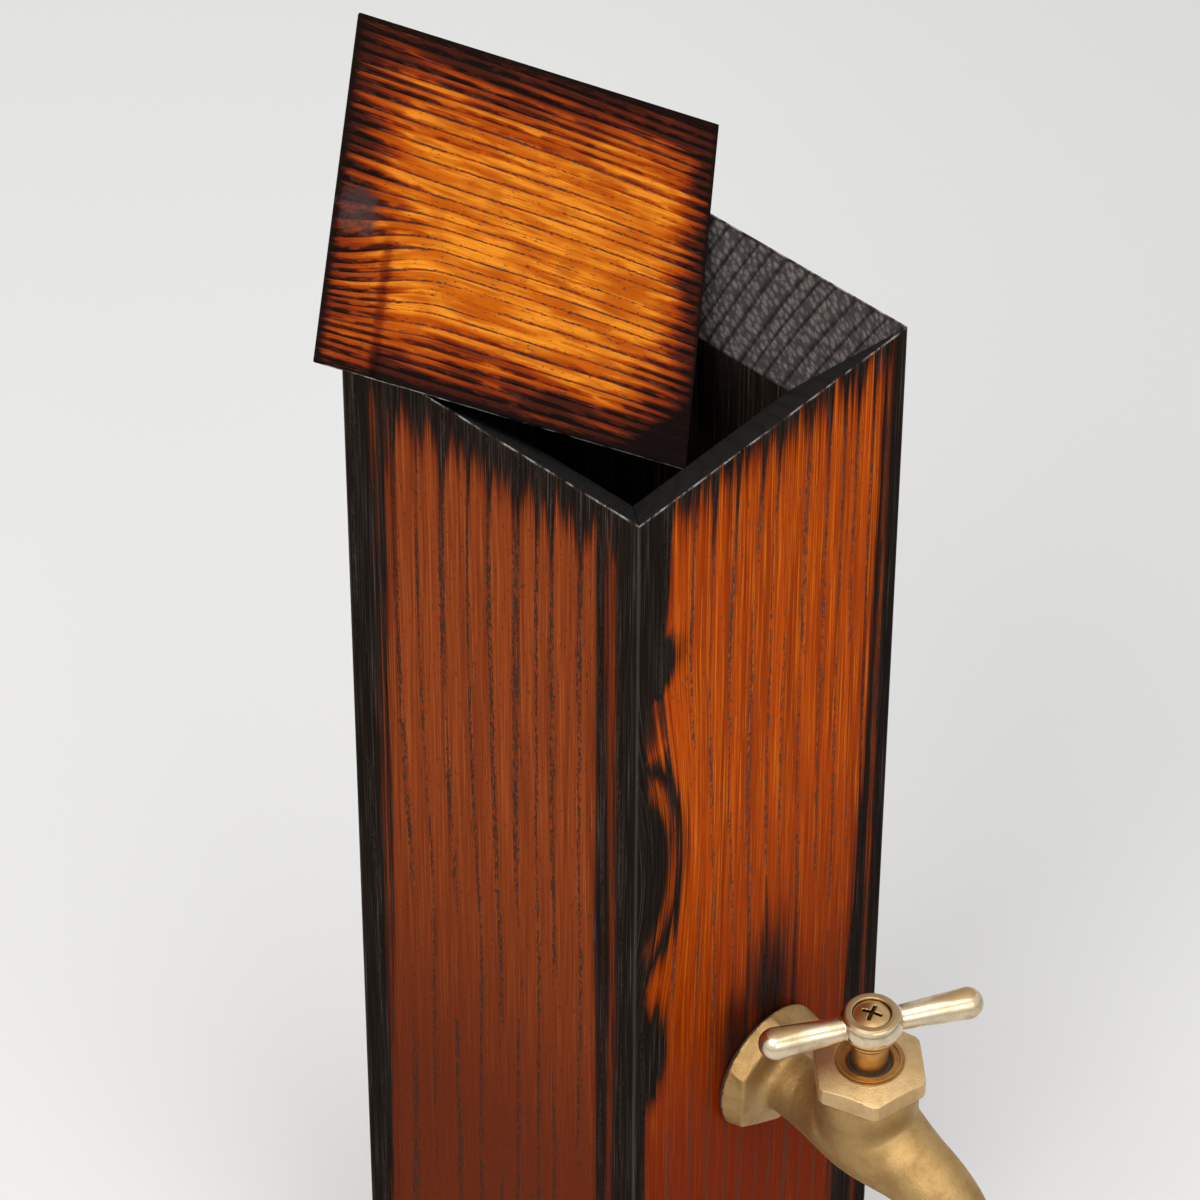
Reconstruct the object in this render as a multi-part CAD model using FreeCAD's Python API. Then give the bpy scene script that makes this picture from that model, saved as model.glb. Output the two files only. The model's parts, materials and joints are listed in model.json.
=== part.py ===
import FreeCAD, Part
import math
import os

# A square oak cask that stands on end, with a lift-out lid and a brass tap.
# Millimetres. +Z is up and the tap looks along -Y. The origin is on the table,
# under the middle of the tower.

V = FreeCAD.Vector
UP = V(0, 0, 1)
OUT = V(0, -1, 0)
RIGHT = V(1, 0, 0)
ORIGIN = V(0, 0, 0)

gap = 0.05                   # clearance between pieces that slide or turn on each other
past = 1.0                   # how far a cut runs past the face that it opens

# tower
side = 88.9                  # outside of the square tower, a 3 1/2 in board
wall = 18.3                  # thickness of every board
bevel_drop = 17.7            # height that the mouth's bevel falls across one wall
rim_z = 355.0
pad_height = 2.0             # felt sheet under the base
pad_inset = 3.0              # the felt stops short of the walls' faces
half = side / 2
inner = half - wall          # half of the hollow

# false bottom of the reservoir and the board that closes the plinth
floor_top = 129.0
floor_thick = 12.0
groove_depth = 5.0           # the floor board is let this far into each wall
base_thick = 12.0

# lid, a board with an undercut edge that plugs the mouth
lid_edge = 1.0               # square arris left above the undercut
lid_spin = -49.7             # turn about the lid's own normal
lid_tilt = 32.39             # lean away from level
lid_yaw = 1.19
lid_centre = V(-2.07, 29.0, rim_z + 12.34)

# tap: heights are measured from the centre of its shank, offsets from the wall's face
tap_x = 2.0
tap_z = rim_z - 208.0
stem_offset = 33.0

# flange, shank and what clamps them to the wall
washer_thick = 1.2           # fibre washer between the flange and the oak
washer_radius = 15.6
flange_thick = 5.0
flange_flats = 27.8
flange_rise = 1.1            # the flange is cast a little above the shank's centre
foot_radius = 17.0           # round foot of the flange against the washer
foot_thick = 1.3
foot_slope = 0.4             # the foot's edge leans in by this much
foot_slope_thick = 1.6
shank_radius = 8.3
shank_end = -29.6            # offset of the shank's tip inside the reservoir
shank_hole = 8.6
ring_radius = 13.5           # gasket and washer inside the reservoir
gasket_thick = 2.0
steel_washer_thick = 1.2
locknut_thick = 6.0
locknut_flats = 24.0
locknut_chamfer = 1.2

# passages in the cast body
inlet_radius = 4.2
inlet_height = -1.0
inlet_end = stem_offset + 3.6
port_radius = 3.4
seat_floor = 5.5
seat_height = 6.1
seat_rim = 1.2               # width of the raised ring round the port
chamber_radius = 7.6
outlet_radius = 3.6
mouth_radius = 5.2
mouth_depth = 12.0           # the spout's lip is bored out this deep

# centre line of the cast body: offset, height, outside radius
body_line = [
    (6.0, 0.0, 7.6),
    (12.0, 0.0, 7.8),
    (18.0, 0.0, 8.4),
    (26.0, 0.0, 9.8),
    (34.0, 0.0, 10.6),
    (42.0, -0.1, 10.2),
    (50.0, -1.2, 9.3),
    (57.5, -4.6, 8.6),
    (63.3, -10.8, 8.1),
    (66.3, -19.0, 7.7),
    (67.0, -27.0, 7.5),
    (67.0, -35.0, 7.4),
]
outlet_line = [(40.0, 8.0), (48.0, -0.8), (57.0, -4.8), (62.8, -11.0), (66.0, -19.0), (67.0, -26.0)]

# upright collar on the body: radius, height
collar_radius = 11.2
collar_top = 21.0
collar_line = [(9.6, -2.0), (10.8, 8.0), (collar_radius, 14.0), (collar_radius, collar_top)]

# bonnet and what it holds
bonnet_flats = 25.0
bonnet_corner = 13.8         # the hexagon's corners are turned down to this radius
bonnet_face = 12.9           # round top face inside the chamfer
bonnet_chamfer = 0.9
bonnet_bottom = 21.8
bonnet_top = 26.5
bonnet_turn = -17.0          # where the hexagon's corners point
sleeve_radius = 8.8          # bonnet's threaded sleeve in the collar
sleeve_bottom = 13.2
sleeve_relief = 0.4          # free height under the sleeve
stem_thread_radius = 6.0
thread_top = 19.5
packing_floor = 21.0
packing_radius = 7.4
packing_lip = 1.2            # the packing stands this far up into the gland
gland_floor = 24.3
gland_radius = 8.5
gland_hole = 5.4
gland_sink = 0.3             # the gland's top lies this far below the bonnet's
gland_chamfer = 0.5

# stem
stem_radius = 4.4
stem_bottom = 10.45
stem_thread_top = 16.0
thread_chamfer = 0.6
shoulder_radius = 5.5        # flared shoulder that carries the handle
shoulder_thick = 0.9
flare_height = 1.7
square_drive = 6.0
pin_hole_depth = 6.3

# jumper that carries the seat washer up and down
seat_gap = 0.02
seat_washer_radius = 5.8
seat_washer_thick = 2.5
jumper_plate = 5.9
jumper_plate_thick = 1.8
jumper_pin = 2.5
jumper_pin_top = stem_bottom + 6.0
jumper_stud = 1.5
jumper_stud_end = seat_height - 2.4
jumper_nut_flats = 4.8
jumper_nut_thick = 1.6

# handle: heights are measured down from the hub's top
hub_top = 42.5
hub_height = 7.4
hub_foot = 5.9               # radius at the hub's underside
hub_radius = 7.5             # radius at the hub's widest
hub_widest = 4.1
hub_shoulder = 6.7
hub_face = 6.2
hub_edge = 0.6
handle_turn = -31.7
handle_reach = 27.6
bar_height = 3.8             # depth of the bars' axis
bar_start = 5.0              # the bars leave the hub this far from its axis
bar_root = 2.9
bar_end = 3.9

# screw that holds the handle on the stem
screw_radius = 2.0
screw_length = 12.0
screw_depth = 13.0
screw_way = 2.3              # radius of the plain hole through the handle
screw_head = 4.5
screw_seat = 4.65            # radius of the sink in the hub
seat_depth = 1.8
web = 1.2                    # metal left between the sink and the square socket
dome_rise = 0.05
head_edge = 0.7
dome_shoulder = V(2.6, 0, -0.15)
slot_length = 5.0
slot_width = 0.9
slot_depth = 1.1
slot_turn = 20.0


def corner(offset, height):
    """Point in the tap's plane of symmetry."""
    return V(tap_x, -half - offset, tap_z + height)


def turned_upright(profile):
    """Solid of revolution about the stem; the profile lists radius and height."""
    points = [V(tap_x + r, -half - stem_offset, tap_z + h) for r, h in profile]
    face = Part.Face(Part.makePolygon(points + points[:1]))
    return face.revolve(corner(stem_offset, 0), UP, 360)


def turned_level(profile, rise=0):
    """Solid of revolution about the shank; the profile lists radius and offset."""
    points = [corner(offset, rise + r) for r, offset in profile]
    face = Part.Face(Part.makePolygon(points + points[:1]))
    return face.revolve(corner(0, rise), OUT, 360)


def tube_upright(inside, outside, low, high):
    return turned_upright([(inside, low), (outside, low), (outside, high), (inside, high)])


def tube_level(inside, outside, near, far):
    return turned_level([(inside, near), (outside, near), (outside, far), (inside, far)])


def rod(start, end, radius):
    return Part.makeCylinder(radius, (end - start).Length, start, end - start)


def turned_free(edges):
    """Solid of revolution about +Z through the origin, from edges drawn in the XZ plane."""
    return Part.Face(Part.Wire(edges)).revolve(ORIGIN, UP, 360)


def line(start, end):
    return Part.LineSegment(start, end).toShape()


def arc(start, middle, end):
    return Part.Arc(start, middle, end).toShape()


def hexagon(flats, centre, first_corner, normal):
    """Hexagonal face across the given normal, its first corner at an angle in degrees."""
    up = normal.cross(RIGHT)
    reach = flats / math.sqrt(3)
    points = []
    for k in range(7):
        angle = math.radians(first_corner + 60 * (k % 6))
        points.append(centre + RIGHT * (reach * math.cos(angle)) + up * (reach * math.sin(angle)))
    return Part.Face(Part.makePolygon(points))


def square_board(half_side, low, thick):
    return Part.makeBox(2 * half_side, 2 * half_side, thick, V(-half_side, -half_side, low))


def reservoir_floor():
    return square_board(inner + groove_depth, floor_top - floor_thick, floor_thick)


def board(turn):
    """One wall: mitred along both long edges, bevelled at the mouth, grooved for the floor."""
    plan = [V(-half, -half, 0), V(half, -half, 0), V(inner, -inner, 0), V(-inner, -inner, 0)]
    plan = [p + V(0, 0, pad_height) for p in plan]
    upright = Part.Face(Part.makePolygon(plan + plan[:1])).extrude(V(0, 0, rim_z - pad_height))
    end = [
        V(-half, -half, pad_height),
        V(-half, -inner, pad_height),
        V(-half, -inner, rim_z - bevel_drop),
        V(-half, -half, rim_z),
    ]
    bevelled = Part.Face(Part.makePolygon(end + end[:1])).extrude(V(side, 0, 0))
    solid = upright.common(bevelled).cut(reservoir_floor())
    solid.rotate(ORIGIN, UP, turn)
    return solid


def front_board():
    bore = rod(corner(past, 0), corner(-wall - past, 0), shank_hole)
    return board(0).cut(bore)


def lid_board():
    """Undercut board, leaning in the mouth on the rear rim."""
    foot = half - (wall - lid_edge) * wall / bevel_drop
    outline = [(-half, 0), (half, 0), (half, -lid_edge), (foot, -wall), (-foot, -wall), (-half, -lid_edge)]
    points = [V(x, -half, z) for x, z in outline]
    along = Part.Face(Part.makePolygon(points + points[:1])).extrude(V(0, side, 0))
    across = along.copy()
    across.rotate(ORIGIN, UP, 90)
    solid = along.common(across)
    spin = FreeCAD.Rotation(UP, lid_spin)
    tilt = FreeCAD.Rotation(RIGHT, lid_tilt)
    yaw = FreeCAD.Rotation(UP, lid_yaw)
    solid.Placement = FreeCAD.Placement(lid_centre, yaw * tilt * spin)
    return solid


def cast_form():
    """Outside of the cast body from the flange to the spout's lip."""
    rings = []
    for k, (offset, height, radius) in enumerate(body_line):
        before = body_line[max(k - 1, 0)]
        after = body_line[min(k + 1, len(body_line) - 1)]
        droop = math.degrees(math.atan2(before[1] - after[1], after[0] - before[0]))
        ring = Part.makeCircle(radius, ORIGIN, OUT)
        ring.rotate(ORIGIN, RIGHT, droop)
        ring.translate(corner(offset, height))
        rings.append(Part.Wire([ring]))
    return Part.makeLoft(rings, True, False)


def tap_flange():
    """Hexagonal flange on a round foot."""
    plate = hexagon(flange_flats, corner(washer_thick, flange_rise), 90, OUT).extrude(OUT * flange_thick)
    foot_front = washer_thick + foot_thick
    slope_front = foot_front + foot_slope_thick
    foot = turned_level(
        [(0, washer_thick), (foot_radius, washer_thick), (foot_radius, foot_front),
         (foot_radius - foot_slope, slope_front), (0, slope_front)],
        flange_rise,
    )
    return plate.fuse(foot)


def tap_passages():
    """Inlet, seat, valve chamber and outlet, as one cutting solid."""
    inlet = rod(corner(shank_end - past, inlet_height), corner(inlet_end, inlet_height), inlet_radius)
    port = rod(corner(stem_offset, inlet_height), corner(stem_offset, seat_height + past), port_radius)
    chamber_top = sleeve_bottom - sleeve_relief
    chamber = turned_upright(
        [
            (port_radius + seat_rim, seat_floor),
            (chamber_radius, seat_floor),
            (chamber_radius, chamber_top),
            (sleeve_radius + gap, chamber_top),
            (sleeve_radius + gap, collar_top + past),
            (0, collar_top + past),
            (0, seat_height),
            (port_radius + seat_rim, seat_height),
        ]
    )
    hollow = inlet.fuse([port, chamber])
    for start, end in zip(outlet_line, outlet_line[1:]):
        passage = rod(corner(*start), corner(*end), outlet_radius)
        bend = Part.makeSphere(outlet_radius, corner(*end))
        hollow = hollow.fuse([passage, bend])
    lip_offset, lip_height, lip_radius = body_line[-1]
    mouth = rod(corner(lip_offset, lip_height + mouth_depth), corner(lip_offset, lip_height - past), mouth_radius)
    return hollow.fuse(mouth)


def tap_body():
    shank = rod(corner(shank_end, 0), corner(washer_thick + flange_thick, 0), shank_radius)
    collar = turned_upright([(0, collar_line[0][1])] + collar_line + [(0, collar_top)])
    return cast_form().fuse([tap_flange(), shank, collar]).cut(tap_passages())


def shank_locknut(near):
    far = near - locknut_thick
    face_radius = locknut_flats / 2
    corner_radius = face_radius + locknut_chamfer
    nut = hexagon(locknut_flats, corner(near, 0), 90, OUT).extrude(OUT * (far - near))
    chamfer = turned_level(
        [(0, near), (face_radius, near), (corner_radius, near - locknut_chamfer),
         (corner_radius, far + locknut_chamfer), (face_radius, far), (0, far)]
    )
    bore = rod(corner(near + past, 0), corner(far - past, 0), shank_radius + gap)
    return nut.common(chamfer).cut(bore)


def bonnet_nut():
    plate = hexagon(bonnet_flats, corner(stem_offset, bonnet_bottom), bonnet_turn, UP)
    hexagonal = plate.extrude(UP * (bonnet_top - bonnet_bottom))
    chamfer = turned_upright(
        [(0, bonnet_bottom), (bonnet_corner, bonnet_bottom), (bonnet_corner, bonnet_top - bonnet_chamfer),
         (bonnet_face, bonnet_top), (0, bonnet_top)]
    )
    sleeve = tube_upright(stem_thread_radius, sleeve_radius, sleeve_bottom, bonnet_bottom + past)
    inside = turned_upright(
        [
            (0, sleeve_bottom - past),
            (stem_thread_radius + gap, sleeve_bottom - past),
            (stem_thread_radius + gap, thread_top),
            (stem_radius + gap, thread_top),
            (stem_radius + gap, packing_floor),
            (packing_radius, packing_floor),
            (packing_radius, gland_floor),
            (gland_radius, gland_floor),
            (gland_radius, bonnet_top + past),
            (0, bonnet_top + past),
        ]
    )
    return hexagonal.common(chamfer).fuse(sleeve).cut(inside)


def stem_packing():
    lip = gland_floor + packing_lip
    return turned_upright(
        [
            (stem_radius + gap, packing_floor),
            (packing_radius, packing_floor),
            (packing_radius, gland_floor),
            (gland_hole - gap, gland_floor),
            (gland_hole - gap, lip),
            (stem_radius + gap, lip),
        ]
    )


def packing_gland():
    top = bonnet_top - gland_sink
    return turned_upright(
        [(gland_hole, gland_floor), (gland_radius, gland_floor), (gland_radius, top),
         (gland_hole + gland_chamfer, top), (gland_hole, top - gland_chamfer)]
    )


def valve_stem():
    """Threaded foot, plain shaft through the packing, shoulder and square for the handle."""
    shoulder = hub_top - hub_height
    square_top = hub_top - seat_depth - web
    turned = turned_upright(
        [
            (0, stem_bottom),
            (stem_thread_radius - thread_chamfer, stem_bottom),
            (stem_thread_radius, stem_bottom + thread_chamfer),
            (stem_thread_radius, stem_thread_top - thread_chamfer),
            (stem_thread_radius - thread_chamfer, stem_thread_top),
            (stem_radius, stem_thread_top),
            (stem_radius, shoulder - shoulder_thick - flare_height),
            (shoulder_radius, shoulder - shoulder_thick),
            (shoulder_radius, shoulder),
            (0, shoulder),
        ]
    )
    centre = corner(stem_offset, shoulder)
    half_square = square_drive / 2
    square = Part.makeBox(square_drive, square_drive, square_top - shoulder, centre - V(half_square, half_square, 0))
    square.rotate(centre, UP, handle_turn)
    screw_top = corner(stem_offset, square_top + past)
    screw_hole = rod(corner(stem_offset, square_top - screw_depth), screw_top, screw_radius + gap)
    pin_top = corner(stem_offset, stem_bottom + pin_hole_depth)
    pin_hole = rod(corner(stem_offset, stem_bottom - past), pin_top, jumper_pin + gap)
    return turned.fuse(square).cut(screw_hole).cut(pin_hole)


def seat_jumper():
    """Plate that backs the seat washer, with a pin up into the stem and a stud down."""
    plate_low = seat_height + seat_gap + seat_washer_thick
    plate_high = plate_low + jumper_plate_thick
    return turned_upright(
        [
            (0, jumper_stud_end),
            (jumper_stud, jumper_stud_end),
            (jumper_stud, plate_low),
            (jumper_plate, plate_low),
            (jumper_plate, plate_high),
            (jumper_pin, plate_high),
            (jumper_pin, jumper_pin_top),
            (0, jumper_pin_top),
        ]
    )


def seat_washer():
    low = seat_height + seat_gap
    return tube_upright(jumper_stud, seat_washer_radius, low, low + seat_washer_thick)


def jumper_nut():
    top = seat_height + seat_gap
    low = top - jumper_nut_thick
    nut = hexagon(jumper_nut_flats, corner(stem_offset, low), 0, UP).extrude(UP * jumper_nut_thick)
    return nut.cut(rod(corner(stem_offset, low - past), corner(stem_offset, top + past), jumper_stud))


def handle_bar():
    """One bar of the handle along +X from the stem's axis, with a round end."""
    round_start = handle_reach - bar_end
    lean = (bar_end - bar_root) / (round_start - bar_start)
    axis_height = V(0, 0, bar_root - bar_start * lean)
    neck = V(round_start, 0, bar_end)
    tip = V(handle_reach, 0, 0)
    middle = V(round_start, 0, 0) + V(1, 0, 1) * (bar_end / math.sqrt(2))
    edges = [line(ORIGIN, axis_height), line(axis_height, neck), arc(neck, middle, tip), line(tip, ORIGIN)]
    return Part.Face(Part.Wire(edges)).revolve(ORIGIN, RIGHT, 360)


def t_handle():
    """Hub with a bulging side, two bars, a square socket and a seat for the screw."""
    axis_low = V(0, 0, -hub_height)
    foot = V(hub_foot, 0, -hub_height)
    widest = V(hub_radius, 0, -hub_widest)
    shoulder = V(hub_shoulder, 0, -hub_edge)
    face = V(hub_face, 0, 0)
    solid = turned_free(
        [line(axis_low, foot), arc(foot, widest, shoulder), line(shoulder, face), line(face, ORIGIN),
         line(ORIGIN, axis_low)]
    )
    for turn in (0, 180):
        bar = handle_bar()
        bar.rotate(ORIGIN, UP, turn)
        bar.translate(V(0, 0, -bar_height))
        solid = solid.fuse(bar)
    half_socket = square_drive / 2 + gap
    socket_height = hub_height - seat_depth - web
    socket = square_board(half_socket, -hub_height - past, socket_height + past)
    way = Part.makeCylinder(screw_way, hub_height, axis_low)
    sink = Part.makeCylinder(screw_seat, seat_depth + past, V(0, 0, -seat_depth))
    solid = solid.cut(socket).cut(way).cut(sink)
    solid.rotate(ORIGIN, UP, handle_turn)
    solid.translate(corner(stem_offset, hub_top))
    return solid


def handle_screw():
    """Domed screw with a crossed slot, sunk in the hub."""
    axis_low = V(0, 0, -seat_depth)
    head_low = V(screw_head, 0, -seat_depth)
    head_high = V(screw_head, 0, -head_edge)
    crown = V(0, 0, dome_rise)
    solid = turned_free(
        [line(axis_low, head_low), line(head_low, head_high), arc(head_high, dome_shoulder, crown),
         line(crown, axis_low)]
    )
    solid = solid.fuse(Part.makeCylinder(screw_radius, screw_length, V(0, 0, -seat_depth - screw_length)))
    for turn in (0, 90):
        slot = Part.makeBox(slot_length, slot_width, slot_depth + past, V(-slot_length / 2, -slot_width / 2, -slot_depth))
        slot.rotate(ORIGIN, UP, turn + slot_turn)
        solid = solid.cut(slot)
    solid.translate(corner(stem_offset, hub_top))
    return solid


gasket_near = -wall - gasket_thick
nut_near = gasket_near - steel_washer_thick

pieces = {
    "front_board": front_board(),
    "right_board": board(90),
    "rear_board": board(180),
    "left_board": board(270),
    "lid_board": lid_board(),
    "reservoir_floor": reservoir_floor(),
    "base_board": square_board(inner, pad_height, base_thick),
    "base_pad": square_board(half - pad_inset, 0, pad_height),
    "tap_body": tap_body(),
    "flange_washer": tube_level(shank_radius + gap, washer_radius, 0, washer_thick),
    "inner_gasket": tube_level(shank_radius + gap, ring_radius, gasket_near, -wall),
    "inner_washer": tube_level(shank_radius + gap, ring_radius, nut_near, gasket_near),
    "shank_locknut": shank_locknut(nut_near),
    "bonnet_nut": bonnet_nut(),
    "bonnet_gasket": tube_upright(sleeve_radius + gap, collar_radius, collar_top, bonnet_bottom),
    "stem_packing": stem_packing(),
    "packing_gland": packing_gland(),
    "valve_stem": valve_stem(),
    "seat_jumper": seat_jumper(),
    "seat_washer": seat_washer(),
    "jumper_nut": jumper_nut(),
    "t_handle": t_handle(),
    "handle_screw": handle_screw(),
}

os.makedirs("parts", exist_ok=True)
for name, shape in pieces.items():
    shape.exportStep("parts/" + name + ".step")
    print(name, "solids", len(shape.Solids), "valid", shape.isValid(), "volume", round(shape.Volume, 1))
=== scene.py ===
import json
import math

import bmesh
import bpy
from mathutils import Matrix, Vector

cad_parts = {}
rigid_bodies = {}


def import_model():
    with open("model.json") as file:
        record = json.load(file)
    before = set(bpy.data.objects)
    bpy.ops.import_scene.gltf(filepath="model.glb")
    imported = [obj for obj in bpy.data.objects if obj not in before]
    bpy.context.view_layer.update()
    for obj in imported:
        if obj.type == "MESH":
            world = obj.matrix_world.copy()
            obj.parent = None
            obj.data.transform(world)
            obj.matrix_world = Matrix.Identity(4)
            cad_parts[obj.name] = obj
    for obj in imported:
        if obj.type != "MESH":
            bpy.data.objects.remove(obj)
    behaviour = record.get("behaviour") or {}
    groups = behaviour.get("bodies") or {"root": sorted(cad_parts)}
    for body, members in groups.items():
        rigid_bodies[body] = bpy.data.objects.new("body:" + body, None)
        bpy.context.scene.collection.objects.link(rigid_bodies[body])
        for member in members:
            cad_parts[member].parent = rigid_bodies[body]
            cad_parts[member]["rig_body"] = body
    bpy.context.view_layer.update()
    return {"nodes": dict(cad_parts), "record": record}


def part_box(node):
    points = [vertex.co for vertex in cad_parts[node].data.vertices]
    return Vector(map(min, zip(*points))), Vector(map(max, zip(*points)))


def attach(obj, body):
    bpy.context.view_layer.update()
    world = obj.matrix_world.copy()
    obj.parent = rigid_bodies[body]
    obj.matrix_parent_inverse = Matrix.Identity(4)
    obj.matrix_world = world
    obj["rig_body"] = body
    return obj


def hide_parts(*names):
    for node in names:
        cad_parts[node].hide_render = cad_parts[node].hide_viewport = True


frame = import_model()
nodes = frame["nodes"]
print("frame loaded:", len(nodes), "nodes")

mm = 0.001

# the tower's own sizes, read from the frame, in millimetres
frontLow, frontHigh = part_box("front_board")
floorLow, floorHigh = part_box("reservoir_floor")
shankLow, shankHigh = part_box("shank_locknut")
glandLow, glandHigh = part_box("packing_gland")
shank = (shankLow + shankHigh) / 2 / mm
stem = (glandLow + glandHigh) / 2 / mm
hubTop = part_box("t_handle")[1].z / mm
rim = frontHigh.z / mm
foot = frontLow.z / mm
half = frontHigh.x / mm
wall = half + frontHigh.y / mm
inner = half - wall
bevelDrop = 17.7            # the mouth's bevel falls this much across one wall


# ---- camera and studio

camera = {
    "azimuth": -47.764,
    "elevation": 43.250,
    "roll": -0.181,
    "lens": 178.5,
    "distance": 1.3175,
    "aside": -0.0055,      # from the middle of the rim, to the camera's right
    "above": -0.0588,      # and up in the camera's own frame
}


def turnToView(azimuth, elevation):
    a = math.radians(azimuth)
    e = math.radians(elevation)
    back = Vector((math.sin(a) * math.cos(e), -math.cos(a) * math.cos(e), math.sin(e)))
    right = Vector((math.cos(a), math.sin(a), 0))
    return right, back.cross(right), back


def aimAt(data, name, right, up, back, place):
    holder = bpy.data.objects.new(name, data)
    bpy.context.scene.collection.objects.link(holder)
    turn = Matrix((right, up, back)).transposed().to_4x4()
    holder.matrix_world = Matrix.Translation(place) @ turn
    return holder


def addCamera():
    right, up, back = turnToView(camera["azimuth"], camera["elevation"])
    roll = math.radians(camera["roll"])
    rolledRight = right * math.cos(roll) - up * math.sin(roll)
    rolledUp = right * math.sin(roll) + up * math.cos(roll)
    place = Vector((0, 0, rim * mm)) + back * camera["distance"]
    place += rolledRight * camera["aside"] + rolledUp * camera["above"]
    data = bpy.data.cameras.new("camera")
    data.lens = camera["lens"]
    data.clip_start = 0.05
    data.clip_end = 30
    bpy.context.scene.camera = aimAt(data, "camera", rolledRight, rolledUp, back, place)


lamps = {
    "keyLeft": {"azimuth": -78, "elevation": 46, "distance": 0.95, "size": (0.5, 0.5), "power": 6.2},
    "above": {"azimuth": -10, "elevation": 74, "distance": 1.0, "size": (0.6, 0.6), "power": 4.2},
    "frontLow": {"azimuth": -18, "elevation": 24, "distance": 1.2, "size": (0.8, 0.35), "power": 3.0},
    "behind": {"azimuth": 165, "elevation": 40, "distance": 1.5, "size": (0.8, 0.8), "power": 6.0},
}
lampTint = (1.0, 0.975, 0.94)
lampAim = (0, -0.02, rim * 0.78 * mm)


def addLamps():
    for name, lamp in lamps.items():
        right, up, back = turnToView(lamp["azimuth"], lamp["elevation"])
        data = bpy.data.lights.new(name, "AREA")
        data.shape = "RECTANGLE"
        data.size, data.size_y = lamp["size"]
        data.energy = lamp["power"]
        data.color = lampTint
        aimAt(data, name, right, up, back, Vector(lampAim) + back * lamp["distance"])


world = {"fill": 0.42, "shown": 1.0, "tint": (0.90, 0.93, 0.98)}


def addWorld():
    studio = bpy.data.worlds.new("studio")
    bpy.context.scene.world = studio
    studio.use_nodes = True
    tree = studio.node_tree
    path = addNode(tree, "ShaderNodeLightPath").outputs
    seen = largest(tree, path["Is Camera Ray"], path["Is Glossy Ray"], path["Is Transmission Ray"])
    fill(tree, tree.nodes["Background"], {
        "Color": blendColours(tree, seen, world["tint"], (1, 1, 1)),
        "Strength": ramp(tree, seen, 0.0, 1.0, world["fill"], world["shown"]),
    })


# ---- helpers for modelling

def deselectAll():
    if bpy.context.object and bpy.context.object.mode != "OBJECT":
        bpy.ops.object.mode_set(mode="OBJECT")
    bpy.ops.object.select_all(action="DESELECT")


def makeActive(piece):
    deselectAll()
    piece.select_set(True)
    bpy.context.view_layer.objects.active = piece


def addCube(low, high):
    deselectAll()
    low, high = Vector(low) * mm, Vector(high) * mm
    bpy.ops.mesh.primitive_cube_add(size=1, location=(low + high) / 2)
    piece = bpy.context.object
    piece.scale = high - low
    bpy.ops.object.transform_apply(location=True, rotation=True, scale=True)
    return piece


def addRod(radius, length, middle, rotation, sides=96):
    deselectAll()
    bpy.ops.mesh.primitive_cylinder_add(vertices=sides, radius=radius * mm, depth=length * mm,
                                        location=Vector(middle) * mm, rotation=rotation)
    bpy.ops.object.transform_apply(location=True, rotation=True, scale=True)
    return bpy.context.object


def pick(kind, test):
    bpy.ops.mesh.select_mode(type=kind)
    bpy.ops.mesh.select_all(action="DESELECT")
    mesh = bmesh.from_edit_mesh(bpy.context.object.data)
    for item in {"VERT": mesh.verts, "EDGE": mesh.edges, "FACE": mesh.faces}[kind]:
        if test(item):
            item.select_set(True)
    mesh.select_flush_mode()
    bmesh.update_edit_mesh(bpy.context.object.data)


def cutAcross(axis, share, *steps):
    def runsAlong(edge):
        step = edge.verts[1].co - edge.verts[0].co
        return abs(step[axis]) > share * step.length
    for cuts in steps:
        pick("EDGE", runsAlong)
        bpy.ops.mesh.subdivide(number_cuts=cuts, smoothness=0)


def addModifier(piece, kind, **settings):
    modifier = piece.modifiers.new(kind.lower(), kind)
    for name, value in settings.items():
        setattr(modifier, name, value)


def applyModifiers(piece):
    makeActive(piece)
    for name in [modifier.name for modifier in piece.modifiers]:
        bpy.ops.object.modifier_apply(modifier=name)


def combine(piece, other, operation):
    addModifier(piece, "BOOLEAN", operation=operation, object=other, solver="EXACT")
    applyModifiers(piece)
    bpy.data.objects.remove(other, do_unlink=True)


def cutAway(piece, cutter):
    combine(piece, cutter, "DIFFERENCE")


def keepInside(piece, limit):
    combine(piece, limit, "INTERSECT")


def joinOn(piece, other):
    makeActive(piece)
    other.select_set(True)
    bpy.ops.object.join()


def settle(piece, place):
    piece.matrix_world = place
    makeActive(piece)
    bpy.ops.object.transform_apply(location=True, rotation=True, scale=True)
    bpy.ops.object.shade_smooth_by_angle(angle=math.radians(32))


def roughen(piece, name, grain, depth, group="", level=0.5):
    texture = bpy.data.textures.new(name, "CLOUDS")
    texture.noise_scale = 1.0
    holder = bpy.data.objects.new(name, None)      # its scale stretches the texture
    bpy.context.scene.collection.objects.link(holder)
    holder.scale = Vector(grain) * mm
    bpy.context.view_layer.update()
    addModifier(piece, "DISPLACE", texture=texture, texture_coords="OBJECT", texture_coords_object=holder,
                strength=depth * mm, mid_level=level, vertex_group=group)
    applyModifiers(piece)
    bpy.data.objects.remove(holder, do_unlink=True)


def weigh(piece, name, weight):
    group = piece.vertex_groups.new(name=name)
    for vertex in piece.data.vertices:
        share = weight(vertex.co / mm)
        if share > 0:
            group.add([vertex.index], min(share, 1), "REPLACE")


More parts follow.
